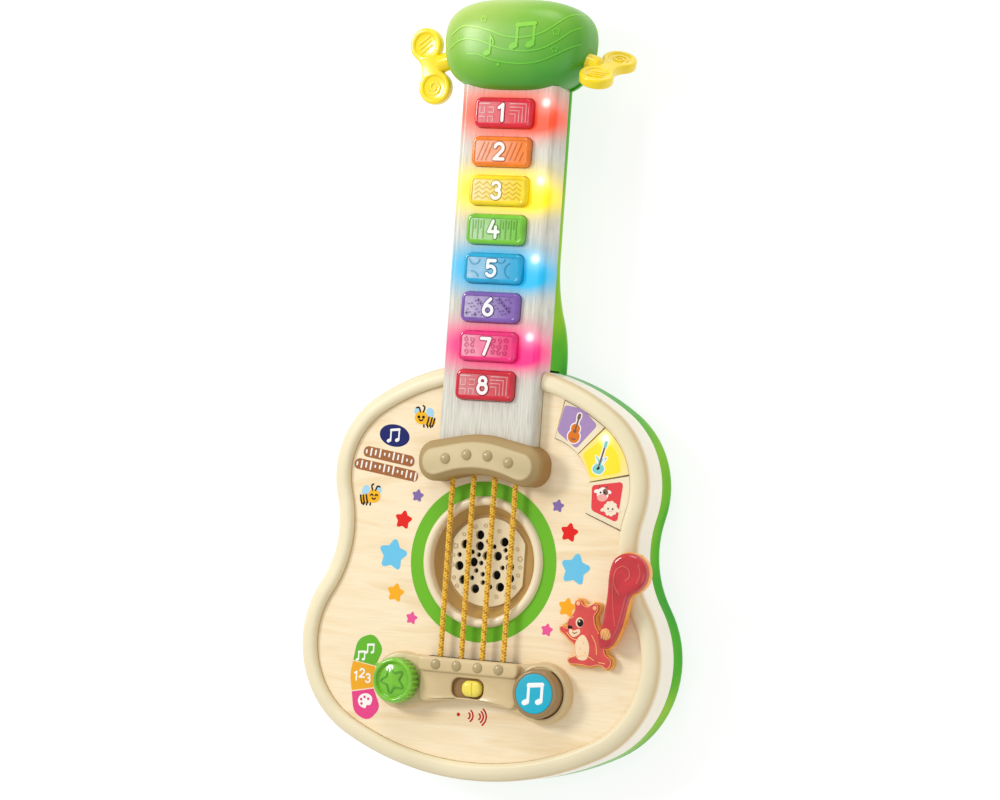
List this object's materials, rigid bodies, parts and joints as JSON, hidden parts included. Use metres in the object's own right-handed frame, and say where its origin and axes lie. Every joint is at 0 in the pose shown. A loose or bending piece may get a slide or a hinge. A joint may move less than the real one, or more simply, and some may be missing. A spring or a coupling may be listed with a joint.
{
  "type": "toy electric guitar",
  "caption": "Toy electric guitar with a wooden face in a rounded plastic body, light-up number buttons on the neck, cord strings, dial, slider, mode keys, tail lever and turning pegs.",
  "frame": {"origin": "middle of the length and width, on the plane of the flat back that the toy lies on", "axes": "+Y runs along the neck towards the head, +X is right seen from the front, +Z points out of the front face"},
  "size_m": [0.229, 0.4531, 0.0613],
  "materials": {
    "shell_green": "gloss",
    "head_green": "gloss",
    "cream_plastic": "satin",
    "maple_ply": "satin",
    "tan_plastic": "satin",
    "bronze_plastic": "satin",
    "grille_cream": "matte",
    "milky_plastic": "gloss",
    "clear_red": "gloss",
    "clear_orange": "gloss",
    "clear_yellow": "gloss",
    "clear_green": "gloss",
    "clear_blue": "gloss",
    "clear_purple": "gloss",
    "clear_pink": "gloss",
    "clear_crimson": "gloss",
    "peg_yellow": "gloss",
    "slider_yellow": "gloss",
    "dial_green": "gloss",
    "disc_blue": "gloss",
    "string_gold": "woven",
    "key_cream": "gloss",
    "lever_orange": "gloss",
    "squirrel_red": "gloss",
    "acorn_tan": "gloss",
    "board_green": "matte",
    "switch_black": "matte",
    "rubber_grey": "matte",
    "led_clear": "clear",
    "steel": "brushed",
    "magnet_iron": "matte",
    "paper_black": "matte",
    "cell_metal": "gloss"
  },
  "bodies": {
    "guitar": {"rear_shell": "shell_green", "rear_screws": "steel", "battery_cells": "cell_metal", "battery_contacts": "steel", "front_housing": "cream_plastic", "face_panel": "maple_ply", "soundhole_lip": "cream_plastic", "soundhole_cup": "bronze_plastic", "speaker_grille": "grille_cream", "speaker_frame": "steel", "speaker_magnet": "magnet_iron", "speaker_cone": "paper_black", "neck_cover": "milky_plastic", "neck_keypad": "rubber_grey", "neck_circuit_board": "board_green", "neck_leds": "led_clear", "string_nut": "tan_plastic", "bridge": "tan_plastic", "music_button_spring": "steel", "mode_key_board": "board_green", "mode_key_pad": "rubber_grey", "mode_key_led": "led_clear", "squirrel_body": "squirrel_red", "lever_board": "board_green", "head_cap": "head_green", "main_circuit_board": "board_green", "board_switches": "switch_black", "board_components": "switch_black", "string_1": "string_gold", "string_2": "string_gold", "string_3": "string_gold", "string_4": "string_gold"},
    "battery_door": {"battery_door": "shell_green", "battery_door_screws": "steel"},
    "mode_dial": {"mode_dial": "dial_green", "mode_dial_clip": "steel"},
    "volume_slider": {"volume_slider": "slider_yellow"},
    "music_button": {"music_button": "bronze_plastic", "music_button_disc": "disc_blue"},
    "tail_lever": {"squirrel_tail_lever": "squirrel_red", "acorn_cap": "acorn_tan", "lever_clip": "steel"},
    "tuning_peg_left": {"tuning_peg_left": "peg_yellow", "tuning_peg_clip_left": "steel"},
    "tuning_peg_right": {"tuning_peg_right": "peg_yellow", "tuning_peg_clip_right": "steel"},
    "number_button_1": {"number_button_1": "clear_red"},
    "number_button_2": {"number_button_2": "clear_orange"},
    "number_button_3": {"number_button_3": "clear_yellow"},
    "number_button_4": {"number_button_4": "clear_green"},
    "number_button_5": {"number_button_5": "clear_blue"},
    "number_button_6": {"number_button_6": "clear_purple"},
    "number_button_7": {"number_button_7": "clear_pink"},
    "number_button_8": {"number_button_8": "clear_crimson"},
    "mode_key_1": {"mode_key_1": "key_cream"},
    "mode_key_2": {"mode_key_2": "key_cream"},
    "mode_key_3": {"mode_key_3": "key_cream"}
  },
  "joints": [
    {"name": "number_button_1_press", "type": "slide", "parent": "guitar", "child": "number_button_1", "axis": [0, 0, -1], "range_m": [0, 0.0015], "stiffness_N_per_m": 1000, "springref_m": -0.0005},
    {"name": "number_button_2_press", "type": "slide", "parent": "guitar", "child": "number_button_2", "axis": [0, 0, -1], "range_m": [0, 0.0015], "stiffness_N_per_m": 1000, "springref_m": -0.0005},
    {"name": "number_button_3_press", "type": "slide", "parent": "guitar", "child": "number_button_3", "axis": [0, 0, -1], "range_m": [0, 0.0015], "stiffness_N_per_m": 1000, "springref_m": -0.0005},
    {"name": "number_button_4_press", "type": "slide", "parent": "guitar", "child": "number_button_4", "axis": [0, 0, -1], "range_m": [0, 0.0015], "stiffness_N_per_m": 1000, "springref_m": -0.0005},
    {"name": "number_button_5_press", "type": "slide", "parent": "guitar", "child": "number_button_5", "axis": [0, 0, -1], "range_m": [0, 0.0015], "stiffness_N_per_m": 1000, "springref_m": -0.0005},
    {"name": "number_button_6_press", "type": "slide", "parent": "guitar", "child": "number_button_6", "axis": [0, 0, -1], "range_m": [0, 0.0015], "stiffness_N_per_m": 1000, "springref_m": -0.0005},
    {"name": "number_button_7_press", "type": "slide", "parent": "guitar", "child": "number_button_7", "axis": [0, 0, -1], "range_m": [0, 0.0015], "stiffness_N_per_m": 1000, "springref_m": -0.0005},
    {"name": "number_button_8_press", "type": "slide", "parent": "guitar", "child": "number_button_8", "axis": [0, 0, -1], "range_m": [0, 0.0015], "stiffness_N_per_m": 1000, "springref_m": -0.0005},
    {"name": "mode_key_1_press", "type": "slide", "parent": "guitar", "child": "mode_key_1", "axis": [0, 0, -1], "range_m": [0, 0.0012], "stiffness_N_per_m": 1000, "springref_m": -0.0005},
    {"name": "mode_key_2_press", "type": "slide", "parent": "guitar", "child": "mode_key_2", "axis": [0, 0, -1], "range_m": [0, 0.0012], "stiffness_N_per_m": 1000, "springref_m": -0.0005},
    {"name": "mode_key_3_press", "type": "slide", "parent": "guitar", "child": "mode_key_3", "axis": [0, 0, -1], "range_m": [0, 0.0012], "stiffness_N_per_m": 1000, "springref_m": -0.0005},
    {"name": "music_button_press", "type": "slide", "parent": "guitar", "child": "music_button", "axis": [0, 0, -1], "range_m": [0, 0.002], "stiffness_N_per_m": 600, "springref_m": -0.001, "deforming": ["music_button_spring"]},
    {"name": "mode_dial_turn", "type": "hinge", "parent": "guitar", "child": "mode_dial", "pos_m": [-0.045, -0.172, 0.05], "axis": [0, 0, 1], "range_deg": [0, 60]},
    {"name": "volume_slide", "type": "slide", "parent": "guitar", "child": "volume_slider", "axis": [1, 0, 0], "range_m": [-0.0068, 0]},
    {"name": "tail_lever_swing", "type": "hinge", "parent": "guitar", "child": "tail_lever", "pos_m": [0.0862, -0.1353, 0.05], "axis": [0, 0, 1], "range_deg": [-15, 15], "stiffness_Nm_per_rad": 0.08},
    {"name": "tuning_peg_left_turn", "type": "hinge", "parent": "guitar", "child": "tuning_peg_left", "pos_m": [-0.0565, 0.187, 0.0397], "axis": [-0.9563, -0.2924, 0], "continuous": true},
    {"name": "tuning_peg_right_turn", "type": "hinge", "parent": "guitar", "child": "tuning_peg_right", "pos_m": [0.0565, 0.187, 0.0397], "axis": [0.9563, -0.2924, 0], "continuous": true},
    {"name": "battery_door_removal", "type": "slide", "parent": "guitar", "child": "battery_door", "axis": [0, 0, -1], "range_m": [0, 0.03]}
  ]
}
